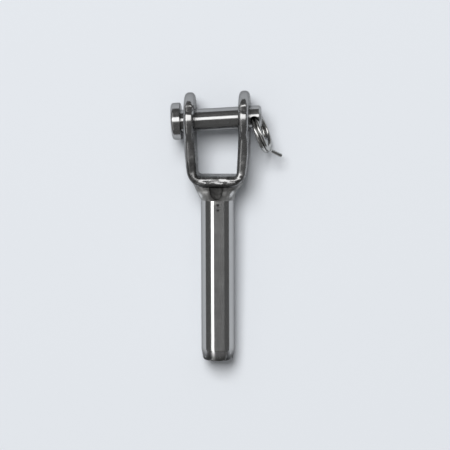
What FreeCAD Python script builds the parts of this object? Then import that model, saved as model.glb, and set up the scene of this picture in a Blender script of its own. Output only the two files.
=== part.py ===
import FreeCAD, Part
import math
import os
import Sketcher

# Rigging fork terminal: bent fork, round barrel for the wire, weld, clevis pin and split ring.
# X runs across the jaw, the ears point to +Y, the barrel to -Y and the front face to +Z.
# The pin's middle is the origin. The fork lies as on a table: eyes and barrel end touch it.

os.makedirs("parts", exist_ok=True)
doc = FreeCAD.newDocument("fork_terminal")

# Sizes in millimetres and degrees: name, value, meaning.
SIZES = [
    ("jaw_gap", "11.9", "inside width between the two ears"),
    ("bar_thickness", "2.8", "thickness of the bent bar"),
    ("bar_depth", "9.0", "front to back size of arms and crown"),
    ("eye_radius", "7.4", "outline radius of the round eyes"),
    ("eye_blend", "10.0", "hollow radius from eye to arm"),
    ("jaw_depth", "15.2", "pin axis to the jaw floor"),
    ("crown_thickness", "3.2", "thickness of the bar across the crown"),
    ("bend_radius", "5.0", "outer radius of the bends"),
    ("arm_sweep", "67.0", "radius of the arms' gentle lean inwards"),
    ("ear_reach", "4.5", "ears run straight outside to this far below the pin"),
    ("lean_start", "3.4", "ears run straight inside to this far below the pin"),
    ("lean_blend", "20.0", "radius where the arms' inner faces begin to lean"),
    ("arm_lean", "3.0", "lean of the arms' inner faces"),
    ("corner_radius", "0.9", "radius of the jaw floor's corners"),
    ("edge_round", "1.2", "rounding of the bar's long edges"),
    ("trim_spare", "3.0", "spare stock that the eye outline trims away"),
    ("pin_radius", "3.0", "clevis pin shank radius"),
    ("pin_clearance", "0.07", "radial clearance of the pin in the eyes"),
    ("bore_break", "0.25", "edge break on the eye bores"),
    ("pin_skew", "3.5", "lean of the pin line across the jaw"),
    ("eye_skew", "1.95", "lean of the line through the two eyes"),
    ("head_radius", "5.0", "pin head radius"),
    ("head_thickness", "2.6", "pin head thickness"),
    ("head_gap", "0.94", "play between pin head and ear"),
    ("head_round", "0.75", "rounding of the head's outer edge"),
    ("head_inner_round", "0.3", "rounding of the head's inner edge"),
    ("pin_chamfer", "0.45", "chamfer on the pin's plain end"),
    ("hole_gap", "0.12", "ear face to the edge of the cross-hole"),
    ("hole_play", "0.05", "play of the ring's two strands in the cross-hole"),
    ("end_wall", "0.5", "cross-hole edge to the pin's end"),
    ("barrel_radius", "4.5", "outside radius of the barrel"),
    ("nose_radius", "2.2", "barrel's end against the crown"),
    ("nose_length", "3.4", "length of the barrel's welding cone"),
    ("taper_start", "62.6", "pin axis to the start of the barrel's end taper"),
    ("barrel_end", "65.6", "pin axis to the barrel's mouth"),
    ("mouth_radius", "3.95", "outside radius at the mouth"),
    ("mouth_round", "0.8", "rounding round the mouth"),
    ("mouth_chamfer", "0.45", "lead-in chamfer of the wire bore"),
    ("wire_radius", "2.5", "radius of the wire that goes in"),
    ("wire_clearance", "0.15", "radial clearance round the wire"),
    ("bore_depth", "41.0", "full depth of the wire bore"),
    ("drill_half_angle", "59.0", "half angle of the drilled bottom"),
    ("weld_shrink", "0.06", "weld's height over the barrel at its end"),
    ("weld_root", "1.6", "how far the weld reaches up behind the crown"),
    ("weld_waist", "1.0", "crown to the weld's narrowing section"),
    ("weld_neck", "2.0", "crown to the weld's narrow section"),
    ("hollow_width", "2.0", "half width of the hollow in the weld"),
    ("hollow_length", "3.5", "half length of the hollow in the weld"),
    ("hollow_deep", "0.95", "depth of the hollow in the weld"),
    ("hollow_side", "-0.1", "hollow's place across the weld"),
    ("hollow_lift", "0.1", "how far the hollow's middle runs into the crown"),
    ("hollow_height", "4.05", "hollow's place over the axis"),
    ("hollow_lean", "13.6", "hollow's lean along the weld"),
    ("ring_wire", "1.05", "wire thickness of the split ring"),
    ("ring_radius", "5.3", "middle radius of the split ring"),
    ("coil_gap", "0.02", "gap between the ring's two turns"),
    ("ring_swing", "18.0", "ring's lean away from the fork"),
    ("ring_float", "0.03", "ring's height over the table"),
    ("first_end", "-130.0", "where the ring's inner end starts"),
    ("step_start", "160.0", "where the ring steps to its second turn"),
    ("step_end", "225.0", "where the second turn begins"),
    ("tail_start", "505.0", "where the bent tail leaves the ring"),
    ("tail_bend", "1.5", "bend radius of the tail"),
    ("tail_length", "3.35", "straight length of the tail"),
    ("tail_out", "0.8", "tail direction away from the pin"),
    ("tail_side", "0.5", "tail direction across the ring"),
    ("tail_drop", "0.35", "tail direction down along the hole"),
    ("ear_face", "=jaw_gap / 2 + bar_thickness", "outer ear face from the middle"),
    ("crown_reach", "=jaw_depth + crown_thickness", "pin axis to the crown's outside"),
    ("root_reach", "=crown_reach - weld_root", "pin axis to the weld's first section"),
    ("waist_reach", "=crown_reach + weld_waist", "pin axis to the weld's third section"),
    ("neck_reach", "=crown_reach + weld_neck", "pin axis to the weld's fourth section"),
    ("hollow_reach", "=crown_reach - hollow_lift", "pin axis to the hollow's middle"),
    ("wire_bore", "=wire_radius + wire_clearance", "radius of the wire bore"),
    ("point_length", "=wire_bore / tan(drill_half_angle * 1 deg)", "length of the drilled point"),
    ("coil_pitch", "=ring_wire + coil_gap", "middle to middle of the ring's turns"),
    ("ring_sag", "=ring_radius - sqrt(ring_radius ^ 2 - pin_radius ^ 2)", "ring's bow over the pin"),
    ("ring_reach", "=ring_radius - ring_sag / 2", "hole axis to the ring's middle"),
    ("hole_radius", "=sqrt((coil_pitch / 2) ^ 2 + (ring_sag / 2) ^ 2) + ring_wire / 2 + hole_play",
     "cross-hole radius"),
    ("hole_reach", "=ear_face + hole_gap + hole_radius", "middle of the fork to the cross-hole"),
    ("pin_end", "=hole_reach + hole_radius + end_wall", "middle of the fork to the pin's end"),
    ("rest_pitch", "=asin(eye_radius / sqrt(taper_start ^ 2 + barrel_radius ^ 2))"
     " - atan(barrel_radius / taper_start)", "lean of the fork as it lies"),
    ("ring_stand", "=ring_radius + ring_wire / 2 + ring_float", "ring's middle over the table"),
    ("hole_turn", "=asin(max(0; min(1; (eye_radius - ring_stand)"
     " / (ring_reach * cos(ring_swing * 1 deg))))) - rest_pitch", "turn of the pin as it lies"),
]

sheet = doc.addObject("Spreadsheet::Sheet", "Sizes")
for row, (name, value, meaning) in enumerate(SIZES, 1):
    sheet.set("A" + str(row), meaning)
    sheet.set("B" + str(row), value)
    sheet.setAlias("B" + str(row), name)
doc.recompute()

# Weld sections from crown to barrel: left, right, half depth, corner radius.
WELD_ROWS = [
    ("6.75", "6.80", "3.70", "2.2"),
    ("6.05", "6.15", "3.80", "2.4"),
    ("5.60", "5.25", "4.00", "2.8"),
    ("5.15", "4.80", "4.25", "3.6"),
]
WELD_REACHES = ("root_reach", "crown_reach", "waist_reach", "neck_reach")
WELD_NAMES = ("left", "right", "depth", "corner")
weld_sheet = doc.addObject("Spreadsheet::Sheet", "WeldSizes")
for row, values in enumerate(WELD_ROWS, 1):
    for column, value in enumerate(values):
        cell = "BCDE"[column] + str(row)
        weld_sheet.set(cell, value)
        weld_sheet.setAlias(cell, WELD_NAMES[column] + "_of_section_" + "abcd"[row - 1])
doc.recompute()


def size(expression):
    """Value of an expression made of the named sizes."""
    value = sheet.evalExpression(expression)
    return float(getattr(value, "Value", value))


def tied(expression):
    """The expression with the sheet named in front of each size."""
    words = sorted((name for name, _, _ in SIZES), key=len, reverse=True)
    result = ""
    index = 0
    while index < len(expression):
        word = next((w for w in words if expression.startswith(w, index)), None)
        before = expression[index - 1] if index else " "
        if word and not (before.isalnum() or before == "_" or before == "."):
            result += "Sizes." + word
            index += len(word)
        else:
            result += expression[index]
            index += 1
    return result


def new_body(name):
    """Empty body with the label of its node."""
    body = doc.addObject("PartDesign::Body", name)
    body.Label = name
    return body


def plane_of(body, role):
    """Origin plane of a body by its role."""
    return next(p for p in body.Origin.OriginFeatures if p.Role == role)


def new_sketch(body, name, role, offset=None):
    """Sketch on one of the body's origin planes, moved by an expression if given."""
    sketch = body.newObject("Sketcher::SketchObject", name)
    sketch.AttachmentSupport = [(plane_of(body, role), "")]
    sketch.MapMode = "FlatFace"
    if offset:
        sketch.setExpression("AttachmentOffset", offset)
    return sketch


def turned(axis, angle):
    """Expression of a placement turned about an axis through the origin."""
    vector = "create(<<vector>>; %s; %s; %s)" % axis
    return ("create(<<placement>>; create(<<vector>>; 0; 0; 0); create(<<rotation>>; "
            + vector + "; " + angle + "))")


def moved(place):
    """Expression of a placement moved without a turn."""
    vector = "create(<<vector>>; %s; %s; %s)" % place
    return ("create(<<placement>>; " + vector
            + "; create(<<rotation>>; create(<<vector>>; 0; 0; 1); 0))")


REST = turned(("1", "0", "0"), "Sizes.rest_pitch")
PIN_LINE = REST + " * " + turned(("0", "0", "1"), "Sizes.pin_skew")
PIN_PLACE = PIN_LINE + " * " + turned(("1", "0", "0"), "Sizes.hole_turn")
RING_PLACE = (PIN_PLACE + " * " + moved(("Sizes.hole_reach", "0", "0")) + " * "
              + turned(("0", "0", "1"), "Sizes.ring_swing"))
EYE_PLANE = turned(("0", "1", "0"), "Sizes.eye_skew")
BORE_PLANE = turned(("0", "1", "0"), "Sizes.pin_skew")


def hold(sketch, kind, first, second, expression=None):
    """Dimension between two points, or of one element, tied to the sizes."""
    start = size(expression)
    index = sketch.addConstraint(Sketcher.Constraint(kind, *first, *second, start))
    sketch.setExpression("Constraints[%d]" % index, tied(expression))


ORIGIN = (-1, 1)


def pin_point(sketch, geometry, end, across, along):
    """Hold a point by its two distances from the sketch's origin."""
    for kind, expression, axis in (("DistanceX", across, -2), ("DistanceY", along, -1)):
        if expression == "0":
            sketch.addConstraint(Sketcher.Constraint("PointOnObject", geometry, end, axis))
        else:
            hold(sketch, kind, ORIGIN, (geometry, end), expression)


def polygon(sketch, corners):
    """Closed outline of straight lines through corners given as size expressions."""
    points = [FreeCAD.Vector(size(x), size(y), 0) for x, y in corners]
    first = sketch.GeometryCount
    count = len(points)
    for index in range(count):
        line = Part.LineSegment(points[index], points[(index + 1) % count])
        sketch.addGeometry(line, False)
    for index in range(count):
        following = first + (index + 1) % count
        sketch.addConstraint(Sketcher.Constraint("Coincident", first + index, 2, following, 1))
    for index, (across, along) in enumerate(corners):
        pin_point(sketch, first + index, 1, across, along)


def circle(sketch, across, radius):
    """Circle on the sketch's first axis."""
    centre = FreeCAD.Vector(size(across), 0, 0)
    index = sketch.addGeometry(Part.Circle(centre, FreeCAD.Vector(0, 0, 1), size(radius)), False)
    pin_point(sketch, index, 3, across, "0")
    hold(sketch, "Radius", (index,), (), radius)


def arc(sketch, centre, radius, start, end):
    """Arc drawn from its start angle to its end angle, both in degrees."""
    whole = Part.Circle(FreeCAD.Vector(*centre, 0), FreeCAD.Vector(0, 0, 1), radius)
    piece = Part.ArcOfCircle(whole, math.radians(start), math.radians(end))
    return sketch.addGeometry(piece, False)


def line(sketch, start, end):
    """Straight line between two points."""
    segment = Part.LineSegment(FreeCAD.Vector(*start, 0), FreeCAD.Vector(*end, 0))
    return sketch.addGeometry(segment, False)


def tie(sketch, kind, *places):
    """Plain constraint without a size."""
    sketch.addConstraint(Sketcher.Constraint(kind, *places))


def feature(body, kind, name, **values):
    """Feature of a body with its properties set."""
    item = body.newObject(kind, name)
    for key, value in values.items():
        setattr(item, key, value)
    body.Tip = item
    return item


def cut_through(body, name, sketch):
    """Pocket of a sketch through the whole body, both ways."""
    return feature(body, "PartDesign::Pocket", name, Profile=sketch, SideType="Symmetric",
                   Type="ThroughAll")


def edge_names(shape, wanted):
    """Names of the edges that a test picks."""
    return ["Edge" + str(i) for i, edge in enumerate(shape.Edges, 1) if wanted(edge)]


def faces_angle(shape, edge):
    """Angle in degrees between the two faces that meet at an edge."""
    point = edge.valueAt((edge.FirstParameter + edge.LastParameter) / 2)
    faces = shape.ancestorsOfType(edge, Part.Face)
    if len(faces) < 2:
        return 0.0
    normals = []
    for face in faces[:2]:
        across, along = face.Surface.parameter(point)
        normals.append(face.normalAt(across, along))
    return math.degrees(normals[0].getAngle(normals[1]))


# Fork: half of the U drawn and padded, mirrored, then trimmed to the eyes' side outline.
fork = new_body("fork_yoke")
u_sketch = new_sketch(fork, "half_u", "XY_Plane")
outer = size("ear_face")
inner = size("jaw_gap / 2")
top = size("eye_radius + trim_spare")
sweep = size("arm_sweep")
bend = size("bend_radius")
sweep_centre = (outer - sweep, -size("ear_reach"))
lean = math.asin((size("crown_reach - ear_reach") - bend) / (sweep - bend))
bend_centre = (sweep_centre[0] + (sweep - bend) * math.cos(lean), -size("crown_reach") + bend)
lean_degrees = math.degrees(lean)
crown = -size("crown_reach")
floor = -size("jaw_depth")
slant = math.radians(size("arm_lean"))
blend = size("lean_blend")
corner = size("corner_radius")
blend_centre = (inner - blend, -size("lean_start"))
slant_top = (blend_centre[0] + blend * math.cos(slant), blend_centre[1] - blend * math.sin(slant))
corner_height = floor + corner
fall = (slant_top[1] - corner_height) * math.tan(slant)
corner_centre = (slant_top[0] - fall - corner / math.cos(slant), corner_height)
slant_foot = (corner_centre[0] + corner * math.cos(slant),
              corner_centre[1] - corner * math.sin(slant))
outer_line = line(u_sketch, (outer, top), (outer, sweep_centre[1]))
outer_sweep = arc(u_sketch, sweep_centre, sweep, -lean_degrees, 0)
outer_bend = arc(u_sketch, bend_centre, bend, -90, -lean_degrees)
crown_line = line(u_sketch, (bend_centre[0], crown), (0, crown))
middle_line = line(u_sketch, (0, crown), (0, floor))
floor_line = line(u_sketch, (0, floor), (corner_centre[0], floor))
inner_corner = arc(u_sketch, corner_centre, corner, -90, -math.degrees(slant))
slant_line = line(u_sketch, slant_foot, slant_top)
inner_blend = arc(u_sketch, blend_centre, blend, -math.degrees(slant), 0)
inner_line = line(u_sketch, (inner, blend_centre[1]), (inner, top))
top_line = line(u_sketch, (inner, top), (outer, top))
tie(u_sketch, "Tangent", outer_line, 2, outer_sweep, 2)
tie(u_sketch, "Tangent", outer_sweep, 1, outer_bend, 2)
tie(u_sketch, "Tangent", outer_bend, 1, crown_line, 1)
tie(u_sketch, "Coincident", crown_line, 2, middle_line, 1)
tie(u_sketch, "Coincident", middle_line, 2, floor_line, 1)
tie(u_sketch, "Tangent", floor_line, 2, inner_corner, 1)
tie(u_sketch, "Tangent", inner_corner, 2, slant_line, 1)
tie(u_sketch, "Tangent", slant_line, 2, inner_blend, 1)
tie(u_sketch, "Tangent", inner_blend, 2, inner_line, 1)
tie(u_sketch, "Coincident", inner_line, 2, top_line, 1)
tie(u_sketch, "Coincident", top_line, 2, outer_line, 1)
for upright in (outer_line, middle_line, inner_line):
    tie(u_sketch, "Vertical", upright)
for level in (crown_line, floor_line, top_line):
    tie(u_sketch, "Horizontal", level)
tie(u_sketch, "PointOnObject", middle_line, 1, -2)
hold(u_sketch, "DistanceX", ORIGIN, (inner_line, 2), "jaw_gap / 2")
hold(u_sketch, "DistanceY", ORIGIN, (inner_line, 1), "-lean_start")
hold(u_sketch, "DistanceY", ORIGIN, (floor_line, 1), "-jaw_depth")
hold(u_sketch, "DistanceX", ORIGIN, (outer_line, 1), "ear_face")
hold(u_sketch, "DistanceY", ORIGIN, (outer_line, 1), "eye_radius + trim_spare")
hold(u_sketch, "DistanceY", ORIGIN, (outer_line, 2), "-ear_reach")
hold(u_sketch, "DistanceY", ORIGIN, (crown_line, 2), "-crown_reach")
hold(u_sketch, "Radius", (outer_sweep,), (), "arm_sweep")
hold(u_sketch, "Radius", (outer_bend,), (), "bend_radius")
hold(u_sketch, "Radius", (inner_blend,), (), "lean_blend")
hold(u_sketch, "Radius", (inner_corner,), (), "corner_radius")
slant_tie = u_sketch.addConstraint(Sketcher.Constraint("Angle", slant_line, math.pi / 2 - slant))
u_sketch.setExpression("Constraints[%d]" % slant_tie, "90 - Sizes.arm_lean")
half = feature(fork, "PartDesign::Pad", "half_fork", Profile=u_sketch, SideType="Symmetric")
half.setExpression("Length", "2 * (Sizes.eye_radius + Sizes.trim_spare)")
doc.recompute()
whole = feature(fork, "PartDesign::Mirrored", "whole_fork", Originals=[half],
                MirrorPlane=(plane_of(fork, "YZ_Plane"), [""]))
doc.recompute()

# Side outline: round eye, hollow blend and straight arm, left standing inside a frame.
side = new_sketch(fork, "side_outline", "YZ_Plane", EYE_PLANE)
eye = size("eye_radius")
blend = size("eye_blend")
rise = size("bar_depth / 2")
run = math.sqrt((eye + blend) ** 2 - (rise + blend) ** 2)
turn = math.degrees(math.atan2(rise + blend, run))
far_line = -size("crown_reach + trim_spare")
eye_arc = arc(side, (0, 0), eye, turn - 180, 180 - turn)
upper_blend = arc(side, (-run, rise + blend), blend, -90, -turn)
lower_blend = arc(side, (-run, -rise - blend), blend, turn, 90)
upper_line = line(side, (-run, rise), (far_line, rise))
back_line = line(side, (far_line, rise), (far_line, -rise))
lower_line = line(side, (far_line, -rise), (-run, -rise))
tie(side, "Tangent", eye_arc, 2, upper_blend, 2)
tie(side, "Tangent", upper_blend, 1, upper_line, 1)
tie(side, "Coincident", upper_line, 2, back_line, 1)
tie(side, "Coincident", back_line, 2, lower_line, 1)
tie(side, "Tangent", lower_line, 2, lower_blend, 2)
tie(side, "Tangent", lower_blend, 1, eye_arc, 1)
tie(side, "Coincident", eye_arc, 3, *ORIGIN)
tie(side, "Horizontal", upper_line)
tie(side, "Horizontal", lower_line)
tie(side, "Vertical", back_line)
tie(side, "Equal", upper_blend, lower_blend)
hold(side, "Radius", (eye_arc,), (), "eye_radius")
hold(side, "Radius", (upper_blend,), (), "eye_blend")
hold(side, "DistanceY", ORIGIN, (upper_line, 2), "bar_depth / 2")
hold(side, "DistanceY", ORIGIN, (lower_line, 1), "-bar_depth / 2")
hold(side, "DistanceX", ORIGIN, (upper_line, 2), "-crown_reach - trim_spare")
polygon(side, [
    ("eye_radius + 2 * trim_spare", "eye_radius + 2 * trim_spare"),
    ("-crown_reach - 2 * trim_spare", "eye_radius + 2 * trim_spare"),
    ("-crown_reach - 2 * trim_spare", "-eye_radius - 2 * trim_spare"),
    ("eye_radius + 2 * trim_spare", "-eye_radius - 2 * trim_spare"),
])
trimmed = cut_through(fork, "trimmed_fork", side)
doc.recompute()
long_edges = edge_names(trimmed.Shape, lambda e: faces_angle(trimmed.Shape, e) > 30)
rounded = feature(fork, "PartDesign::Fillet", "rounded_fork", Base=(trimmed, long_edges))
rounded.setExpression("Radius", "Sizes.edge_round")
doc.recompute()
bore_sketch = new_sketch(fork, "eye_bores", "YZ_Plane", BORE_PLANE)
circle(bore_sketch, "0", "pin_radius + pin_clearance")
bored = cut_through(fork, "bored_fork", bore_sketch)
doc.recompute()
bore_radius = size("pin_radius + pin_clearance")


def on_bore_mouth(edge):
    """Whether an edge is the rim of an eye bore."""
    rim = getattr(edge.Curve, "MinorRadius", getattr(edge.Curve, "Radius", 0))
    return abs(rim - bore_radius) < 0.01 and abs(edge.Curve.Center.z) < 0.01


mouths = edge_names(bored.Shape, on_bore_mouth)
broken = feature(fork, "PartDesign::Chamfer", "finished_fork", Base=(bored, mouths))
broken.setExpression("Size", "Sizes.bore_break")
fork.setExpression("Placement", REST)
doc.recompute()

# Barrel: turned outside with a welding cone and a blind drilled bore for the wire.
barrel = new_body("swage_barrel")
barrel_sketch = new_sketch(barrel, "barrel_profile", "XY_Plane")
polygon(barrel_sketch, [
    ("0", "-crown_reach"),
    ("nose_radius", "-crown_reach"),
    ("barrel_radius", "-crown_reach - nose_length"),
    ("barrel_radius", "-taper_start"),
    ("mouth_radius", "-barrel_end"),
    ("wire_bore", "-barrel_end"),
    ("wire_bore", "-barrel_end + bore_depth"),
    ("0", "-barrel_end + bore_depth + point_length"),
])
turned_barrel = feature(barrel, "PartDesign::Revolution", "turned_barrel", Profile=barrel_sketch,
                        ReferenceAxis=(barrel_sketch, ["V_Axis"]))
doc.recompute()


def ring_edges(shape, radius, height):
    """Names of the round edges of a radius at a place along the barrel."""
    def wanted(edge):
        if not hasattr(edge.Curve, "Radius") or not hasattr(edge.Curve, "Center"):
            return False
        near = abs(edge.Curve.Center.y - height) < 0.01
        return near and abs(edge.Curve.Radius - radius) < 0.01
    return edge_names(shape, wanted)


mouth_outside = ring_edges(turned_barrel.Shape, size("mouth_radius"), -size("barrel_end"))
round_barrel = feature(barrel, "PartDesign::Fillet", "round_mouth",
                       Base=(turned_barrel, mouth_outside))
round_barrel.setExpression("Radius", "Sizes.mouth_round")
doc.recompute()
mouth_inside = ring_edges(round_barrel.Shape, size("wire_bore"), -size("barrel_end"))
finished_barrel = feature(barrel, "PartDesign::Chamfer", "finished_barrel",
                          Base=(round_barrel, mouth_inside))
finished_barrel.setExpression("Size", "Sizes.mouth_chamfer")
barrel.setExpression("Placement", REST)
doc.recompute()

# Weld: lofted from the crown's flat outline to the barrel's round one, hollowed in front.
weld = new_body("weld_blank")


def weld_section(letter, place, left, right, depth, corner, values):
    """Rounded rectangle across the weld, tied to five named sizes."""
    sketch = new_sketch(weld, "weld_section_" + letter, "XZ_Plane",
                        moved(("0", "0", place)))
    low, high, half_depth, rim = values
    span = (low + rim, high - rim)
    level = half_depth - rim
    ends = [(span[1], level), (span[0], level), (span[0], -level), (span[1], -level)]
    sides = [
        line(sketch, (span[1], half_depth), (span[0], half_depth)),
        line(sketch, (low, level), (low, -level)),
        line(sketch, (span[0], -half_depth), (span[1], -half_depth)),
        line(sketch, (high, -level), (high, level)),
    ]
    corners = [arc(sketch, ends[i], rim, 90 * i, 90 * i + 90) for i in range(4)]
    for index in range(4):
        tie(sketch, "Tangent", corners[index], 2, sides[index], 1)
        tie(sketch, "Tangent", sides[index], 2, corners[(index + 1) % 4], 1)
    tie(sketch, "Horizontal", sides[0])
    tie(sketch, "Vertical", sides[1])
    tie(sketch, "Horizontal", sides[2])
    tie(sketch, "Vertical", sides[3])
    for index in range(1, 4):
        tie(sketch, "Equal", corners[0], corners[index])
    for kind, spot, value, expression in (
            ("DistanceX", (sides[1], 1), low, "-" + left),
            ("DistanceX", (sides[3], 1), high, right),
            ("DistanceY", (sides[0], 1), half_depth, depth),
            ("DistanceY", (sides[2], 1), -half_depth, "-" + depth)):
        index = sketch.addConstraint(Sketcher.Constraint(kind, *ORIGIN, *spot, value))
        sketch.setExpression("Constraints[%d]" % index, expression)
    index = sketch.addConstraint(Sketcher.Constraint("Radius", corners[0], rim))
    sketch.setExpression("Constraints[%d]" % index, corner)
    return sketch


sections = []
for row, letter in enumerate("abcd"):
    names = ["WeldSizes." + word + "_of_section_" + letter for word in WELD_NAMES]
    low, high, half_depth, rim = (float(value) for value in WELD_ROWS[row])
    sections.append(weld_section(letter, tied(WELD_REACHES[row]), *names,
                                 (-low, high, half_depth, rim)))
end_radius = size("barrel_radius + weld_shrink")
round_part = 0.96
end_size = "(Sizes.barrel_radius + Sizes.weld_shrink)"
sections.append(weld_section("e", "Sizes.crown_reach + Sizes.nose_length + Sizes.weld_shrink",
                             end_size, end_size, end_size, str(round_part) + " * " + end_size,
                             (-end_radius, end_radius, end_radius, round_part * end_radius)))
feature(weld, "PartDesign::AdditiveLoft", "weld_loft", Profile=sections[0],
        Sections=sections[1:])
weld.setExpression("Placement", REST)
doc.recompute()

hollow = doc.addObject("Part::Ellipsoid", "weld_hollow")
hollow.setExpression("Radius1", "Sizes.hollow_deep")
hollow.setExpression("Radius2", "Sizes.hollow_width")
hollow.setExpression("Radius3", "Sizes.hollow_length")
hollow.setExpression("Placement", REST + " * "
                     + moved(("Sizes.hollow_side", "-Sizes.hollow_reach", "Sizes.hollow_height"))
                     + " * " + turned(("1", "0", "0"), "-Sizes.hollow_lean"))
neighbours = doc.addObject("Part::MultiFuse", "weld_neighbours")
neighbours.Shapes = [fork, barrel, hollow]
bead = doc.addObject("Part::Cut", "weld_bead")
bead.Base = weld
bead.Tool = neighbours
doc.recompute()

# Clevis pin: turned with its head, then cross-drilled beside the ear for the ring.
pin = new_body("clevis_pin")
pin_sketch = new_sketch(pin, "pin_profile", "XY_Plane")
polygon(pin_sketch, [
    ("-ear_face - head_gap - head_thickness", "0"),
    ("-ear_face - head_gap - head_thickness", "head_radius"),
    ("-ear_face - head_gap", "head_radius"),
    ("-ear_face - head_gap", "pin_radius"),
    ("pin_end - pin_chamfer", "pin_radius"),
    ("pin_end", "pin_radius - pin_chamfer"),
    ("pin_end", "0"),
])
turned_pin = feature(pin, "PartDesign::Revolution", "turned_pin", Profile=pin_sketch,
                     ReferenceAxis=(pin_sketch, ["H_Axis"]))
doc.recompute()


def head_edges(shape, place):
    """Names of the head's round edges at a place along the pin."""
    def wanted(edge):
        if not hasattr(edge.Curve, "Radius") or not hasattr(edge.Curve, "Center"):
            return False
        near = abs(edge.Curve.Center.x - place) < 0.01
        return near and abs(edge.Curve.Radius - size("head_radius")) < 0.01
    return edge_names(shape, wanted)


outer_rim = head_edges(turned_pin.Shape, size("-ear_face - head_gap - head_thickness"))
round_head = feature(pin, "PartDesign::Fillet", "round_head", Base=(turned_pin, outer_rim))
round_head.setExpression("Radius", "Sizes.head_round")
doc.recompute()
inner_rim = head_edges(round_head.Shape, size("-ear_face - head_gap"))
eased_head = feature(pin, "PartDesign::Fillet", "eased_head", Base=(round_head, inner_rim))
eased_head.setExpression("Radius", "Sizes.head_inner_round")
doc.recompute()
hole_sketch = new_sketch(pin, "cross_hole", "XY_Plane")
circle(hole_sketch, "hole_reach", "hole_radius")
cut_through(pin, "drilled_pin", hole_sketch)
pin.setExpression("Placement", PIN_PLACE)
doc.recompute()

# Split ring: two turns through the cross-hole, a step between them and a bent tail.
radius = size("ring_radius")
reach = size("ring_reach")
half_pitch = size("coil_pitch / 2")


def ring_point(angle, across):
    """Point of the ring's middle line, angle counted from the pin over the top."""
    turn = math.radians(angle)
    return FreeCAD.Vector(across, radius * math.cos(turn) - reach, radius * math.sin(turn))


def ring_way(angle):
    """Direction in which the wire runs at an angle."""
    turn = math.radians(angle)
    return FreeCAD.Vector(0, -math.sin(turn), math.cos(turn))


def bow(start, corner, end):
    """Arc from start to end, tangent to the two lines that meet at the corner."""
    middle = (start + end) / 2
    half_chord = (end - start).Length / 2
    side_length = (corner - start).Length
    rise_angle = math.acos(half_chord / side_length)
    peak = middle + (corner - middle).normalize() * half_chord * math.tan(rise_angle / 2)
    return Part.Arc(start, peak, end).toShape()


def coil(first, last, across):
    """Edges of one turn, each no longer than a half turn."""
    halves = max(1, math.ceil((last - first) / 180))
    spread = (last - first) / halves
    edges = []
    for index in range(halves):
        begin = first + spread * index
        points = [ring_point(begin + spread * part / 2, across) for part in range(3)]
        edges.append(Part.Arc(*points).toShape())
    return edges


step_first = size("step_start")
step_last = size("step_end")
start = ring_point(step_first, -half_pitch)
end = ring_point(step_last, half_pitch)
way_in = ring_way(step_first)
way_out = ring_way(step_last)
gap = end - start
lead = gap.dot(way_in + way_out)
spread = 2 * (1 - way_in.dot(way_out))
arm = (math.sqrt(lead ** 2 + spread * gap.dot(gap)) - lead) / spread
corner_in = start + way_in * arm
corner_out = end - way_out * arm
joint = (corner_in + corner_out) / 2
tail_angle = size("tail_start")
tail_root = ring_point(tail_angle, half_pitch)
tail_way = FreeCAD.Vector(size("tail_side"), -size("tail_out"), -size("tail_drop")).normalize()
root_way = ring_way(tail_angle)
tail_leg = size("tail_bend") * math.tan(root_way.getAngle(tail_way) / 2)
tail_corner = tail_root + root_way * tail_leg
tail_from = tail_corner + tail_way * tail_leg
tail_tip = tail_from + tail_way * size("tail_length")
path_edges = coil(size("first_end"), step_first, -half_pitch)
path_edges.append(bow(start, corner_in, joint))
path_edges.append(bow(joint, corner_out, end))
path_edges += coil(step_last, tail_angle, half_pitch)
path_edges.append(bow(tail_root, tail_corner, tail_from))
path_edges.append(Part.makeLine(tail_from, tail_tip))
ring_path = doc.addObject("Part::Feature", "ring_path")
ring_path.Shape = Part.Wire(path_edges)

wire_section = doc.addObject("Part::Circle", "wire_section")
wire_section.setExpression("Radius", "Sizes.ring_wire / 2")
start_point = ring_point(size("first_end"), -half_pitch)
start_way = ring_way(size("first_end"))
wire_section.Placement = FreeCAD.Placement(
    start_point, FreeCAD.Rotation(FreeCAD.Vector(0, 0, 1), start_way))
ring = doc.addObject("Part::Sweep", "split_ring")
ring.Sections = [wire_section]
ring.Spine = (ring_path, ["Edge" + str(i) for i in range(1, len(path_edges) + 1)])
ring.Solid = True
ring.Frenet = False
ring.setExpression("Placement", RING_PLACE)
doc.recompute()

wire_area = math.pi * size("ring_wire / 2") ** 2
ideal_volume = wire_area * ring_path.Shape.Length
if abs(ring.Shape.Volume / ideal_volume - 1) > 0.01:
    raise RuntimeError("the ring's wire is not as thick as it should be")

# Each piece is checked and written to its own file.
for item in doc.Objects:
    if "Invalid" in item.State or "Error" in item.State:
        raise RuntimeError(item.Name + " did not build")
for piece, node in ((fork, "fork_yoke"), (barrel, "swage_barrel"), (bead, "weld_bead"),
                    (pin, "clevis_pin"), (ring, "split_ring")):
    piece.Label = node
    if piece.Shape.isNull() or not piece.Shape.isValid() or len(piece.Shape.Solids) != 1:
        raise RuntimeError(node + " is not one sound solid")
    piece.Shape.exportStep("parts/" + node + ".step")
    print(node, round(piece.Shape.Volume, 2), piece.Shape.BoundBox)
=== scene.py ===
import math

import bmesh
import bpy
from bpy.props import FloatProperty, FloatVectorProperty, PointerProperty
from mathutils import Matrix, Vector


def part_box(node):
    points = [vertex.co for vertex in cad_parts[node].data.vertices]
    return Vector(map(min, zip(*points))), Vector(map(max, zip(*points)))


bl_info = {
    "name": "Rigging fork terminal",
    "version": (1, 0, 0),
    "blender": (4, 5, 0),
    "location": "3D View > Sidebar > Fork terminal",
    "description": "Polished steel fork terminal with clevis pin and split ring on a table",
    "category": "Object",
}

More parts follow.
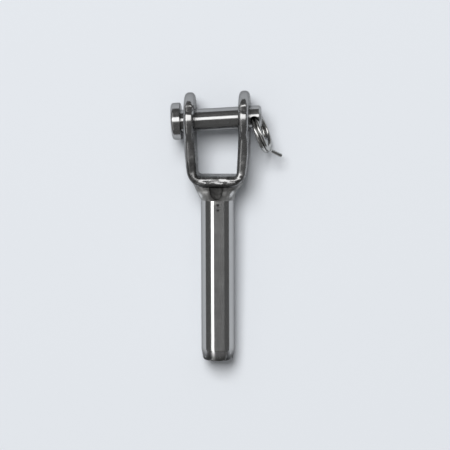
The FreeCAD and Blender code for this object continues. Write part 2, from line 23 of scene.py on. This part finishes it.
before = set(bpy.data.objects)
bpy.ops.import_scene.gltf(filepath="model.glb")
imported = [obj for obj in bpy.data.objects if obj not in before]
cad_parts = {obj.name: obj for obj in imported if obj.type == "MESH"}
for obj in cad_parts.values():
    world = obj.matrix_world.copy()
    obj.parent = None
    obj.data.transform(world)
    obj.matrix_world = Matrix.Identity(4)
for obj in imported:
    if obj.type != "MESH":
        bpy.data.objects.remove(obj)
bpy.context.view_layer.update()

MM = 0.001
ORIGIN = (0.0, 0.0, 0.0)
ACROSS = (1.0, 0.0, 0.0)
LENGTHWISE = (0.0, 1.0, 0.0)
UPWARD = (0.0, 0.0, 1.0)
WHITE = (1.0, 1.0, 1.0)

# The part, with its places in millimetres
NODES = ("fork_yoke", "swage_barrel", "weld_bead", "clevis_pin", "split_ring")
ROUND_NODES = ("swage_barrel", "weld_bead")
REST_LEAN = math.radians(2.66)
CROWN_TOP = 4.0
BARREL_TOP = 4.5
EAR_DENTS = ((-6.9, 2.8, 6.8), (8.2, 3.0, 6.8))

# Steel
EDGE_TINT = (0.48, 0.48, 0.48)
SPOT_CORE = 0.35

# Table and lamps, in metres
TABLE_HEIGHT = min(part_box(node)[0].z for node in NODES)
TABLE_HALF = 4.0
LEFT_ANGLE = math.radians(33.5)
LEFT_LENGTH = 3.4
LEFT_SHARE = 1.12
LEFT_WEAK_SHARE = 0.3
TOP_ANGLE = math.radians(14.0)
TOP_LENGTH = 2.9
TOP_SHARE = 0.85
TABLE_LIGHT_WAY = (-math.tan(math.radians(9.5)), math.tan(math.radians(26.0)), 1.0)
FILL_WIDTH = 16.0

# Camera
PICTURE_POINTS = 450
SENSOR_WIDTH = 36.0
CAMERA_RIGHT = math.radians(3.8)
CAMERA_UP = math.radians(4.4)
CAMERA_TARGET = Vector((2.085, -28.69, 0.0)) * MM


def colour_property(name, default, description):
    """Colour shown with a picker."""
    return FloatVectorProperty(name=name, description=description, subtype="COLOR",
                               size=3, min=0.0, max=1.0, default=default)


class ForkTerminalFinish(bpy.types.PropertyGroup):
    """Finish of the steel."""

    yoke_colour: colour_property("Fork", (0.39, 0.39, 0.39), "Colour of the polished fork")
    barrel_colour: colour_property("Barrel", (0.50, 0.50, 0.50), "Colour of the barrel")
    weld_colour: colour_property("Weld", (0.37, 0.37, 0.365), "Colour of the ground weld")
    pin_colour: colour_property("Pin", (0.42, 0.42, 0.42), "Colour of the clevis pin")
    ring_colour: colour_property("Ring", (0.54, 0.54, 0.53), "Colour of the split ring")
    # Painted sheen and highlight: this lighter colour is painted on both sides of the weld and
    # on the barrel's top below the weld
    painted_sheen_colour: colour_property("Rubbed weld", (0.75, 0.75, 0.74),
                                   "Colour where the weld and its edge are rubbed bright")
    # Dark colour of real scuffs, pits and stains, also used for the painted shade in the weld's
    # hollow, along the seam and in the fork's left inner corner
    stain_and_shade_colour: colour_property("Stain", (0.035, 0.034, 0.033), "Colour of scuffs and pits")
    ear_polish: FloatProperty(name="Ear polish", default=0.22, min=0.0, max=1.0,
                              description="Roughness of the fork's ears")
    arm_polish: FloatProperty(name="Arm polish", default=0.25, min=0.0, max=1.0,
                              description="Roughness of the fork's arms and crown")
    barrel_polish: FloatProperty(name="Barrel polish", default=0.155, min=0.0, max=1.0,
                                 description="Roughness of the turned barrel")
    pin_polish: FloatProperty(name="Pin polish", default=0.20, min=0.0, max=1.0,
                              description="Roughness of the clevis pin")
    ring_polish: FloatProperty(name="Ring polish", default=0.17, min=0.0, max=1.0,
                               description="Roughness of the ring's wire")
    grind: FloatProperty(name="Ground roughness", default=0.52, min=0.0, max=1.0,
                         description="Roughness of the ground weld")
    dents: FloatProperty(name="Ear dents", default=0.00024, unit="LENGTH", precision=5,
                         description="Depth of the small dent on each ear")
    lumps: FloatProperty(name="Crown lumps", default=0.00035, unit="LENGTH", precision=5,
                         description="Depth of the dents that bending left in the crown")


class ForkTerminalStudio(bpy.types.PropertyGroup):
    """Table, lights and camera."""

    table_colour: colour_property("Table", (0.753, 0.783, 0.823), "Colour of the table")
    table_glow: FloatProperty(name="Table light", default=10.1, min=0.0, max=50.0,
                              description="Brightness of the soft light over the table")
    table_fill: FloatProperty(name="Table fill", default=0.15, min=0.0, max=2.0,
                              description="Brightness of the room over the table alone")
    table_distance: FloatProperty(name="Table light distance", default=4.0, unit="LENGTH",
                                  description="Table to its own light")
    room: FloatProperty(name="Room", default=0.13, min=0.0, max=2.0,
                        description="Brightness of the dim room around the table")
    strip_glow: FloatProperty(name="Strip lights", default=2.6, min=0.0, max=20.0,
                              description="Brightness of the two strip lights")
    strip_distance: FloatProperty(name="Strip distance", default=1.2, unit="LENGTH",
                                  description="Table to the strip lights")
    camera_distance: FloatProperty(name="Camera distance", default=0.9, unit="LENGTH",
                                   description="Object to the camera")
    pixel_size: FloatProperty(name="Pixel", default=0.0002703, unit="LENGTH", precision=7,
                              description="Size of one picture point on the object")


class Maker:
    """Builds the nodes of one material."""

    def __init__(self, name):
        self.material = bpy.data.materials.new(name)
        self.material.use_nodes = True
        self.tree = self.material.node_tree
        self.tree.nodes.clear()
        self.output = self.tree.nodes.new("ShaderNodeOutputMaterial")
        self.shader = self.tree.nodes.new("ShaderNodeBsdfPrincipled")
        self.link(self.shader.outputs["BSDF"], self.output.inputs["Surface"])
        self.place = self.tree.nodes.new("ShaderNodeTexCoord").outputs["Object"]

    def link(self, output, socket):
        """Join one node's output to a socket."""
        self.tree.links.new(output, socket)

    def give(self, socket, value):
        """Put a number, a colour or another node's output into a socket."""
        if isinstance(value, bpy.types.NodeSocket):
            self.link(value, socket)
        else:
            socket.default_value = value

    def shade(self, name, value):
        """Put a value into one socket of the shader."""
        self.give(self.shader.inputs[name], value)

    def mapped(self, scale, centre=ORIGIN):
        """Object place in millimetres about a centre, stretched by a scale for each axis."""
        node = self.tree.nodes.new("ShaderNodeMapping")
        self.link(self.place, node.inputs["Vector"])
        node.inputs["Scale"].default_value = [part / MM for part in scale]
        node.inputs["Location"].default_value = [-centre[i] * scale[i] for i in range(3)]
        return node.outputs["Vector"]

    def noise(self, scale, detail, rough):
        """Noise with its own stretch, from 0 to 1."""
        node = self.tree.nodes.new("ShaderNodeTexNoise")
        self.link(self.mapped(scale), node.inputs["Vector"])
        node.inputs["Scale"].default_value = 1.0
        node.inputs["Detail"].default_value = detail
        node.inputs["Roughness"].default_value = rough
        return node.outputs["Fac"]

    def ramp(self, value, low, high, start=0.0, end=1.0):
        """Value moved smoothly from one range to another."""
        node = self.tree.nodes.new("ShaderNodeMapRange")
        node.interpolation_type = "SMOOTHSTEP"
        self.give(node.inputs["Value"], value)
        for name, number in (("From Min", low), ("From Max", high),
                             ("To Min", start), ("To Max", end)):
            self.give(node.inputs[name], number)
        return node.outputs["Result"]

    def math(self, kind, first, second):
        """Arithmetic of two values."""
        node = self.tree.nodes.new("ShaderNodeMath")
        node.operation = kind
        self.give(node.inputs[0], first)
        self.give(node.inputs[1], second)
        return node.outputs["Value"]

    def plus(self, first, second):
        """Sum of two values."""
        return self.math("ADD", first, second)

    def times(self, first, second):
        """Product of two values."""
        return self.math("MULTIPLY", first, second)

    def either(self, first, second):
        """Larger of two values."""
        return self.math("MAXIMUM", first, second)

    def lengthwise(self):
        """Coordinate along the part, in millimetres."""
        node = self.tree.nodes.new("ShaderNodeSeparateXYZ")
        self.link(self.mapped((1.0, 1.0, 1.0)), node.inputs["Vector"])
        return node.outputs["Y"]

    def spot(self, centre, radius, stretch=(1.0, 1.0, 1.0)):
        """Round spot, 1 in its middle and 0 outside."""
        node = self.tree.nodes.new("ShaderNodeVectorMath")
        node.operation = "LENGTH"
        self.link(self.mapped(stretch, centre), node.inputs[0])
        return self.ramp(node.outputs["Value"], SPOT_CORE * radius, radius, 1.0, 0.0)

    def blend(self, share, first, second):
        """Colour between two colours."""
        node = self.tree.nodes.new("ShaderNodeMix")
        node.data_type = "RGBA"
        self.give(node.inputs["Factor"], share)
        self.give(node.inputs["A"], first)
        self.give(node.inputs["B"], second)
        return node.outputs["Result"]

    def bump(self, height, depth, below=None):
        """Surface relief of a depth in millimetres."""
        node = self.tree.nodes.new("ShaderNodeBump")
        node.inputs["Strength"].default_value = 1.0
        node.inputs["Distance"].default_value = depth * MM
        self.give(node.inputs["Height"], height)
        if below:
            self.link(below, node.inputs["Normal"])
        return node.outputs["Normal"]

    def brush(self, strength, way):
        """Stretch the highlights across a brushed direction."""
        node = self.tree.nodes.new("ShaderNodeCombineXYZ")
        for index in range(3):
            node.inputs[index].default_value = way[index]
        self.shade("Anisotropic", strength)
        self.shade("Tangent", node.outputs["Vector"])


def solid(colour):
    """Colour with its opacity."""
    return (*colour, 1.0)


def along(reach, across, height):
    """Point on the fork, in millimetres, from its distances to the pin axis."""
    point = Vector((across, -reach, height))
    return tuple(Matrix.Rotation(REST_LEAN, 3, "X") @ point)


def down(reach):
    """Coordinate along the part at a distance from the pin axis."""
    return along(reach, 0.0, 0.0)[1]


def steel(name, colour, roughness, uneven, stretch, groove, wave, waviness, brushed=0.0,
          way=ACROSS):
    """Polished steel with smudges, fine scratches and a slight wave of the surface."""
    maker = Maker(name)
    maker.shade("Metallic", 1.0)
    maker.shade("Specular Tint", solid(EDGE_TINT))
    if brushed:
        maker.brush(brushed, way)
    smudge = maker.noise((0.35, 0.35, 0.35), detail=4.0, rough=0.6)
    scratch = maker.noise(stretch, detail=2.0, rough=0.6)
    dull = maker.ramp(smudge, 0.35, 0.75, roughness * (1 - 0.3 * uneven),
                      roughness * (1 + uneven))
    fine = maker.ramp(scratch, 0.60, 0.75, 0.0, roughness * 0.6 * uneven)
    maker.matt = maker.plus(dull, fine)
    maker.shade("Roughness", maker.matt)
    tone = maker.ramp(smudge, 0.3, 0.8, 0.0, 0.14)
    maker.tint = maker.blend(tone, solid(colour), solid([part * 0.7 for part in colour]))
    maker.shade("Base Color", maker.tint)
    swell = maker.bump(maker.noise(wave, detail=2.0, rough=0.5), waviness)
    maker.relief = maker.bump(scratch, groove, swell)
    maker.shade("Normal", maker.relief)
    return maker


def dress(node, material):
    """Give a CAD node one material."""
    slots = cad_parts[node].data.materials
    slots.clear()
    slots.append(material)


class FORKTERMINAL_OT_fork(bpy.types.Operator):
    """Finish the bent fork, rougher and dented where it was bent and welded"""

    bl_idname = "forkterminal.fork"
    bl_label = "Fork"

    def execute(self, context):
        finish = context.scene.fork_terminal_finish
        maker = steel("polished_fork", finish.yoke_colour, finish.ear_polish, uneven=0.5,
                      stretch=(6.0, 1.2, 1.2), groove=0.0008,
                      wave=(0.30, 0.22, 0.25), waviness=0.12, brushed=0.6)
        lengthwise = maker.lengthwise()
        arm = maker.ramp(lengthwise, down(2.0), down(11.0), 0.0,
                         finish.arm_polish - finish.ear_polish)
        maker.shade("Roughness", maker.plus(maker.matt, arm))
        crown = maker.ramp(lengthwise, down(13.8), down(16.4))
        self.dent(maker, finish, crown)
        self.stains_and_painted_shade(maker, finish, crown)
        dress("fork_yoke", maker.material)
        return {"FINISHED"}

    def dent(self, maker, finish, crown):
        """Lumps on the crown and one shallow dent on each ear."""
        lumps = maker.noise((0.45, 0.65, 0.45), detail=1.5, rough=0.5)
        relief = maker.bump(maker.times(crown, lumps), finish.lumps / MM, maker.relief)
        dents = maker.either(*(maker.spot(place, 1.5, (0.5, 1.0, 0.5)) for place in EAR_DENTS))
        maker.shade("Normal", maker.bump(dents, -finish.dents / MM, relief))

    def stains_and_painted_shade(self, maker, finish, crown):
        """Stains on the crown, with painted shade along the weld's seam and in the left inner
        corner.
        """
        # Painted shade: a dark band along the crease where the crown meets the weld
        seam_shade = maker.spot(along(18.2, 0.3, CROWN_TOP), 8.5, (1.0, 6.5, 0.7))
        # Painted shade: a dark spot in the left inner corner of the fork, which hides the
        # lamp's reflection there
        corner_shade = maker.spot(along(14.4, -6.6, CROWN_TOP), 3.6, (1.0, 0.75, 0.5))
        patches = maker.ramp(maker.noise((0.45, 0.9, 0.45), detail=4.0, rough=0.65), 0.50, 0.62)
        # Real stains on the crown joined with the painted shade of the seam band and the corner
        # spot
        stain_and_shade_mask = maker.either(maker.times(crown, patches), seam_shade)
        stain_and_shade_mask = maker.either(stain_and_shade_mask, maker.times(corner_shade, 0.9))
        maker.shade("Base Color", maker.blend(maker.times(stain_and_shade_mask, 0.75), maker.tint,
                                              solid(finish.stain_and_shade_colour)))


class FORKTERMINAL_OT_barrel(bpy.types.Operator):
    """Finish the barrel with a painted highlight at its top, small pits and scuffed mouth"""

    bl_idname = "forkterminal.barrel"
    bl_label = "Barrel"

    def execute(self, context):
        finish = context.scene.fork_terminal_finish
        maker = steel("turned_barrel", finish.barrel_colour, finish.barrel_polish, uneven=0.15,
                      stretch=(0.4, 9.0, 0.4), groove=0.0015,
                      wave=(0.05, 0.30, 0.05), waviness=0.03, brushed=0.95, way=LENGTHWISE)
        mouth = maker.ramp(maker.lengthwise(), down(61.8), down(65.5))
        patches = maker.ramp(maker.noise((0.9, 0.6, 0.9), detail=4.0, rough=0.6), 0.32, 0.50)
        scuffs = maker.times(mouth, patches)
        pits = maker.either(maker.spot(along(22.93, 0.35, BARREL_TOP), 0.50),
                            maker.spot(along(24.34, 0.39, BARREL_TOP), 0.50))
        # Painted highlight: a light patch on the barrel's top just below the weld
        lip_highlight = maker.spot(along(22.23, -0.5, BARREL_TOP), 0.9, (0.6, 1.0, 0.6))
        tint = maker.blend(lip_highlight, maker.tint, solid(finish.painted_sheen_colour))
        marks = maker.times(maker.either(scuffs, pits), 0.88)
        maker.shade("Base Color", maker.blend(marks, tint, solid(finish.stain_and_shade_colour)))
        maker.shade("Roughness", maker.plus(maker.matt, maker.times(mouth, 0.35)))
        maker.shade("Normal", maker.bump(scuffs, -0.03, maker.relief))
        dress("swage_barrel", maker.material)
        return {"FINISHED"}


class FORKTERMINAL_OT_weld(bpy.types.Operator):
    """Finish the ground weld with stains, painted shade in its hollow and along its seam, and
    painted sheen on its sides
    """

    bl_idname = "forkterminal.weld"
    bl_label = "Weld"

    def execute(self, context):
        finish = context.scene.fork_terminal_finish
        maker = steel("ground_weld", finish.weld_colour, finish.grind, uneven=0.4,
                      stretch=(3.0, 3.0, 3.0), groove=0.003,
                      wave=(0.5, 0.5, 0.5), waviness=0.45)
        stains = maker.ramp(maker.noise((0.8, 0.8, 0.8), detail=4.0, rough=0.6), 0.50, 0.66)
        # Painted shade: a dark spot in the weld's hollow, standing in for the dark reflection
        # there
        hollow_shade = maker.spot(along(20.3, -0.3, CROWN_TOP), 4.6, (1.25, 1.0, 0.7))
        # Painted shade: a dark band along the crease of the weld's seam under the crown
        seam_shade = maker.spot(along(18.6, 0.3, CROWN_TOP), 7.0, (1.0, 4.5, 0.7))
        # Painted shade of the hollow and the seam, joined with real stains, all in the dark
        # stain colour
        stain_and_shade_mask = maker.either(maker.either(hollow_shade, seam_shade), maker.times(stains, 0.7))
        tint = maker.blend(maker.times(stain_and_shade_mask, 0.92), maker.tint, solid(finish.stain_and_shade_colour))
        # Painted sheen: lighter, glossier patches on the left and right sides of the weld
        side_sheen = maker.either(maker.spot(along(20.6, -4.9, 3.0), 1.5),
                              maker.spot(along(20.2, 4.2, 3.6), 1.5))
        maker.shade("Base Color", maker.blend(side_sheen, tint, solid(finish.painted_sheen_colour)))
        gloss = maker.ramp(side_sheen, 0.0, 1.0, 1.0, 0.55)
        maker.shade("Roughness", maker.times(maker.matt, gloss))
        dress("weld_bead", maker.material)
        return {"FINISHED"}


class FORKTERMINAL_OT_pin(bpy.types.Operator):
    """Finish the clevis pin"""

    bl_idname = "forkterminal.pin"
    bl_label = "Clevis pin"

    def execute(self, context):
        finish = context.scene.fork_terminal_finish
        maker = steel("polished_pin", finish.pin_colour, finish.pin_polish, uneven=0.25,
                      stretch=(9.0, 0.4, 0.4), groove=0.001,
                      wave=(0.30, 0.08, 0.08), waviness=0.02, brushed=0.75)
        dress("clevis_pin", maker.material)
        return {"FINISHED"}


class FORKTERMINAL_OT_ring(bpy.types.Operator):
    """Finish the split ring"""

    bl_idname = "forkterminal.ring"
    bl_label = "Split ring"

    def execute(self, context):
        finish = context.scene.fork_terminal_finish
        maker = steel("bright_wire", finish.ring_colour, finish.ring_polish, uneven=0.5,
                      stretch=(2.0, 2.0, 2.0), groove=0.002,
                      wave=(0.5, 0.5, 0.5), waviness=0.02)
        dress("split_ring", maker.material)
        return {"FINISHED"}


def spread(distance, half_angle):
    """Width of a lamp that fills an angle to both sides of its middle, in degrees."""
    return 2 * distance * math.tan(math.radians(half_angle))


def facing(back, side, up, place):
    """Placement with its own axes for something that looks back at the object."""
    return Matrix.Translation(place) @ Matrix((side, up, back)).transposed().to_4x4()


def soft_light(name, direction, width, length, glow, distance, way=LENGTHWISE):
    """Rectangular lamp that faces the object, with its length along a way."""
    data = bpy.data.lights.new(name, "AREA")
    data.shape = "RECTANGLE"
    data.size = width
    data.size_y = length
    data.energy = glow * math.pi * width * length
    light = bpy.data.objects.new(name, data)
    bpy.context.scene.collection.objects.link(light)
    back = Vector(direction).normalized()
    side = back.cross(Vector(way)).normalized()
    light.matrix_world = facing(back, side, back.cross(side), back * distance)
    return light


def limit_light(light, things, state):
    """Let a lamp light only some things, or everything but them."""
    group = bpy.data.collections.new(light.name + "_reach")
    for thing in things:
        group.objects.link(thing)
    for entry in group.collection_objects:
        entry.light_linking.link_state = state
    light.light_linking.receiver_collection = group


class FORKTERMINAL_OT_stage(bpy.types.Operator):
    """Lay the pale table, hang the lights and set up the camera"""

    bl_idname = "forkterminal.stage"
    bl_label = "Table, lights and camera"

    def execute(self, context):
        studio = context.scene.fork_terminal_studio
        table = self.lay_table(context, studio)
        self.hang_strips(studio, table)
        self.light_table(studio, table)
        self.light_room(context, studio)
        self.set_camera(context, studio)
        context.scene.view_settings.view_transform = "Standard"
        return {"FINISHED"}

    def lay_table(self, context, studio):
        """Wide matt table at the height on which the part rests."""
        mesh = bpy.data.meshes.new("table")
        form = bmesh.new()
        bmesh.ops.create_grid(form, x_segments=4, y_segments=4, size=TABLE_HALF)
        bmesh.ops.translate(form, vec=(0.0, 0.0, TABLE_HEIGHT), verts=form.verts)
        form.to_mesh(mesh)
        form.free()
        table = bpy.data.objects.new("table", mesh)
        context.scene.collection.objects.link(table)
        maker = Maker("pale_table")
        maker.shade("Base Color", solid(studio.table_colour))
        maker.shade("Roughness", 0.9)
        maker.shade("Specular IOR Level", 0.1)
        mesh.materials.append(maker.material)
        return table

    def hang_strips(self, studio, table):
        """Strip lamps for the steel: a left one that the arms see weakly, and a top one."""
        distance = studio.strip_distance
        glow = studio.strip_glow
        rounds = [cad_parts[node] for node in ROUND_NODES]
        for name, share, things, state in (
                ("left_strip", LEFT_SHARE, rounds, "INCLUDE"),
                ("left_strip_low", LEFT_WEAK_SHARE, [table, *rounds], "EXCLUDE")):
            strip = soft_light(name, (-math.sin(LEFT_ANGLE), 0.0, math.cos(LEFT_ANGLE)),
                               spread(distance, 9.0), LEFT_LENGTH, share * glow, distance)
            limit_light(strip, things, state)
        strip = soft_light("top_strip", (0.0, math.sin(TOP_ANGLE), math.cos(TOP_ANGLE)),
                           spread(distance, 13.0), TOP_LENGTH, TOP_SHARE * glow, distance,
                           ACROSS)
        limit_light(strip, [table], "EXCLUDE")

    def light_table(self, studio, table):
        """Lamps for the table alone, which give its pale tone and its soft shadows."""
        distance = studio.table_distance
        for lamp in (
                soft_light("table_light", TABLE_LIGHT_WAY, spread(distance, 14.5),
                           spread(distance, 16.0), studio.table_glow, distance),
                soft_light("table_fill", UPWARD, FILL_WIDTH, FILL_WIDTH, studio.table_fill,
                           distance)):
            limit_light(lamp, [table], "INCLUDE")

    def light_room(self, context, studio):
        """Even dim room."""
        world = bpy.data.worlds.new("dark_room")
        context.scene.world = world
        world.use_nodes = True
        background = world.node_tree.nodes["Background"]
        background.inputs["Color"].default_value = solid(WHITE)
        background.inputs["Strength"].default_value = studio.room

    def set_camera(self, context, studio):
        """Camera almost straight above, leaning a little to the right and up."""
        data = bpy.data.cameras.new("camera")
        camera = bpy.data.objects.new("camera", data)
        context.scene.collection.objects.link(camera)
        context.scene.camera = camera
        data.sensor_width = SENSOR_WIDTH
        data.lens = (data.sensor_width * studio.camera_distance
                     / (PICTURE_POINTS * studio.pixel_size))
        right = math.sin(CAMERA_RIGHT)
        up = math.sin(CAMERA_UP)
        back = Vector((right, up, math.sqrt(1 - right ** 2 - up ** 2)))
        side = Vector(LENGTHWISE).cross(back).normalized()
        camera.matrix_world = facing(back, side, back.cross(side),
                                     CAMERA_TARGET + back * studio.camera_distance)
        data.clip_start = 0.01
        data.clip_end = 20.0


class FORKTERMINAL_PT_panel(bpy.types.Panel):
    """Buttons and settings of the fork terminal"""

    bl_idname = "FORKTERMINAL_PT_panel"
    bl_label = "Fork terminal"
    bl_space_type = "VIEW_3D"
    bl_region_type = "UI"
    bl_category = "Fork terminal"

    def draw(self, context):
        for group in (context.scene.fork_terminal_finish, context.scene.fork_terminal_studio):
            for name in group.__annotations__:
                self.layout.prop(group, name)
        for operator in OPERATORS:
            self.layout.operator(operator.bl_idname)


GROUPS = (ForkTerminalFinish, ForkTerminalStudio)
OPERATORS = (
    FORKTERMINAL_OT_fork,
    FORKTERMINAL_OT_barrel,
    FORKTERMINAL_OT_weld,
    FORKTERMINAL_OT_pin,
    FORKTERMINAL_OT_ring,
    FORKTERMINAL_OT_stage,
)


def register():
    for item in (*GROUPS, *OPERATORS, FORKTERMINAL_PT_panel):
        bpy.utils.register_class(item)
    bpy.types.Scene.fork_terminal_finish = PointerProperty(type=ForkTerminalFinish)
    bpy.types.Scene.fork_terminal_studio = PointerProperty(type=ForkTerminalStudio)


def unregister():
    del bpy.types.Scene.fork_terminal_studio
    del bpy.types.Scene.fork_terminal_finish
    for item in (FORKTERMINAL_PT_panel, *reversed(OPERATORS), *reversed(GROUPS)):
        bpy.utils.unregister_class(item)


def main():
    """Make the whole scene."""
    register()
    for operator in OPERATORS:
        area, name = operator.bl_idname.split(".")
        getattr(getattr(bpy.ops, area), name)()


if __name__ == "__main__":
    main()
